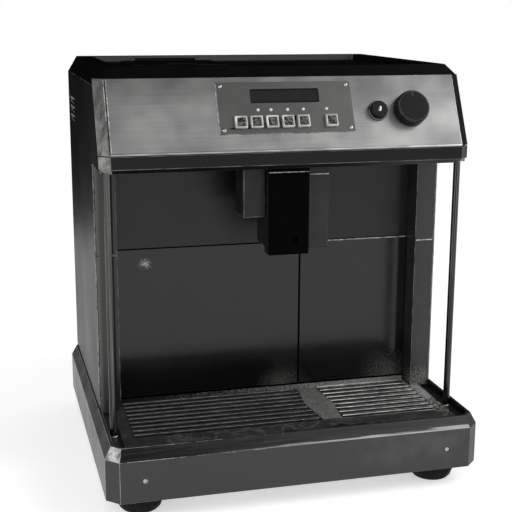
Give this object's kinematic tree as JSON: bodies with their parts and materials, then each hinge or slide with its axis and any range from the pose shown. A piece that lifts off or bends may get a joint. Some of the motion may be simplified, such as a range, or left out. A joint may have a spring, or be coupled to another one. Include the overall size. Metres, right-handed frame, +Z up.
{
  "type": "hot coffee vending machine",
  "caption": "Table-top hot coffee vending machine with an overhanging control head, an open cup station, a lift-out drip grille and pull-out drawers.",
  "frame": {"origin": "middle of the base's footprint, on the surface that the feet stand on", "axes": "+Z up, +Y from the front with the controls to the rear, +X to the right of someone facing the front"},
  "size_m": [0.44, 0.409, 0.489],
  "materials": {
    "dark_sheet": "satin dark grey enamel",
    "side_sheet": "satin dark grey enamel",
    "station_sheet": "dark satin lacquered steel",
    "column_sheet": "dark satin lacquered steel",
    "black_sheet": "satin black enamel",
    "fascia_steel": "brushed along its length",
    "plate_steel": "dark satin",
    "grille_steel": "dark satin",
    "post_steel": "polished dark",
    "zinc_sheet": "zinc plated",
    "zinc_screw": "zinc plated",
    "top_black": "fine texture",
    "black_plastic": "moulded",
    "spout_black": "satin gloss",
    "grey_plastic": "moulded",
    "smoked_window": "clear gloss",
    "silver_key": "silver lacquer",
    "light_guide": "milky",
    "circuit_board": "solder mask",
    "lock_black": "moulded",
    "knob_black": "fine satin",
    "chrome": "polished",
    "copper": "satin",
    "rubber": "matt"
  },
  "bodies": {
    "machine": {"base_shell": "dark_sheet", "base_plate": "zinc_sheet", "base_screw_left": "zinc_screw", "base_screw_right": "zinc_screw", "foot_front_left": "rubber", "foot_front_right": "rubber", "foot_rear_left": "rubber", "foot_rear_right": "rubber", "drip_pan": "black_plastic", "chassis_floor": "zinc_sheet", "mid_shelf": "zinc_sheet", "side_panel_left": "side_sheet", "side_panel_right": "side_sheet", "column_left_lower": "column_sheet", "column_left_upper": "column_sheet", "column_right_lower": "column_sheet", "column_right_upper": "column_sheet", "upper_panel": "station_sheet", "rear_panel": "zinc_sheet", "post_left": "post_steel", "post_right": "post_steel", "head_band": "black_sheet", "head_floor": "black_sheet", "fascia": "fascia_steel", "control_plate": "plate_steel", "display_window": "smoked_window", "indicator_light_pipe": "light_guide", "control_board": "circuit_board", "plate_screw_1": "zinc_screw", "plate_screw_2": "zinc_screw", "plate_screw_3": "zinc_screw", "plate_screw_4": "zinc_screw", "lock_collar": "chrome", "knob_encoder": "black_plastic", "top_cover": "top_black", "lid_hinge_pin": "zinc_screw", "spout_guide": "spout_black", "water_outlet_housing": "grey_plastic", "milk_outlet_housing": "grey_plastic", "bean_hopper": "smoked_window", "grinder": "grey_plastic", "brew_group": "black_plastic", "boiler": "copper", "pump": "zinc_sheet", "fan_frame": "black_plastic", "power_inlet": "black_plastic"},
    "drip_grille": {"drip_grille": "grille_steel"},
    "hopper_lid": {"hopper_lid": "top_black"},
    "lock_cylinder": {"lock_cylinder": "lock_black"},
    "selector_knob": {"selector_knob": "knob_black"},
    "spout_block": {"spout_block": "spout_black"},
    "grounds_drawer": {"grounds_drawer": "station_sheet"},
    "water_tank_drawer": {"water_tank_drawer": "station_sheet"},
    "fan_rotor": {"fan_rotor": "black_plastic"},
    "button_1": {"button_1": "silver_key"},
    "button_2": {"button_2": "silver_key"},
    "button_3": {"button_3": "silver_key"},
    "button_4": {"button_4": "silver_key"},
    "button_5": {"button_5": "silver_key"},
    "button_6": {"button_6": "silver_key"}
  },
  "joints": [
    {"name": "grille_lift", "type": "slide", "parent": "machine", "child": "drip_grille", "axis": [0, -0.45, 0.893], "range_m": [0, 0.25]},
    {"name": "lid_hinge", "type": "hinge", "parent": "machine", "child": "hopper_lid", "pos_m": [-0.09, 0.1373, 0.48507], "axis": [-1, 0, 0], "range_deg": [0, 80]},
    {"name": "spout_slide", "type": "slide", "parent": "machine", "child": "spout_block", "axis": [0, 0, 1], "range_m": [0, 0.025]},
    {"name": "grounds_drawer_slide", "type": "slide", "parent": "machine", "child": "grounds_drawer", "axis": [0, -1, 0], "range_m": [0, 0.15]},
    {"name": "tank_drawer_slide", "type": "slide", "parent": "machine", "child": "water_tank_drawer", "axis": [0, -1, 0], "range_m": [0, 0.15]},
    {"name": "lock_turn", "type": "hinge", "parent": "machine", "child": "lock_cylinder", "pos_m": [0.104, -0.13949, 0.4392], "axis": [0, 0.8988, -0.4384], "range_deg": [0, 90]},
    {"name": "knob_turn", "type": "hinge", "parent": "machine", "child": "selector_knob", "pos_m": [0.1428, -0.13941, 0.43938], "axis": [0, 0.8988, -0.4384], "range_deg": [-135, 135]},
    {"name": "fan_spin", "type": "hinge", "parent": "machine", "child": "fan_rotor", "pos_m": [-0.09, 0.1805, 0.345], "axis": [0, 1, 0], "continuous": true},
    {"name": "button_1_press", "type": "slide", "parent": "machine", "child": "button_1", "axis": [0, 0.8988, -0.4384], "range_m": [0, 0.0015], "stiffness_N_per_m": 400},
    {"name": "button_2_press", "type": "slide", "parent": "machine", "child": "button_2", "axis": [0, 0.8988, -0.4384], "range_m": [0, 0.0015], "stiffness_N_per_m": 400},
    {"name": "button_3_press", "type": "slide", "parent": "machine", "child": "button_3", "axis": [0, 0.8988, -0.4384], "range_m": [0, 0.0015], "stiffness_N_per_m": 400},
    {"name": "button_4_press", "type": "slide", "parent": "machine", "child": "button_4", "axis": [0, 0.8988, -0.4384], "range_m": [0, 0.0015], "stiffness_N_per_m": 400},
    {"name": "button_5_press", "type": "slide", "parent": "machine", "child": "button_5", "axis": [0, 0.8988, -0.4384], "range_m": [0, 0.0015], "stiffness_N_per_m": 400},
    {"name": "button_6_press", "type": "slide", "parent": "machine", "child": "button_6", "axis": [0, 0.8988, -0.4384], "range_m": [0, 0.0015], "stiffness_N_per_m": 400}
  ]
}
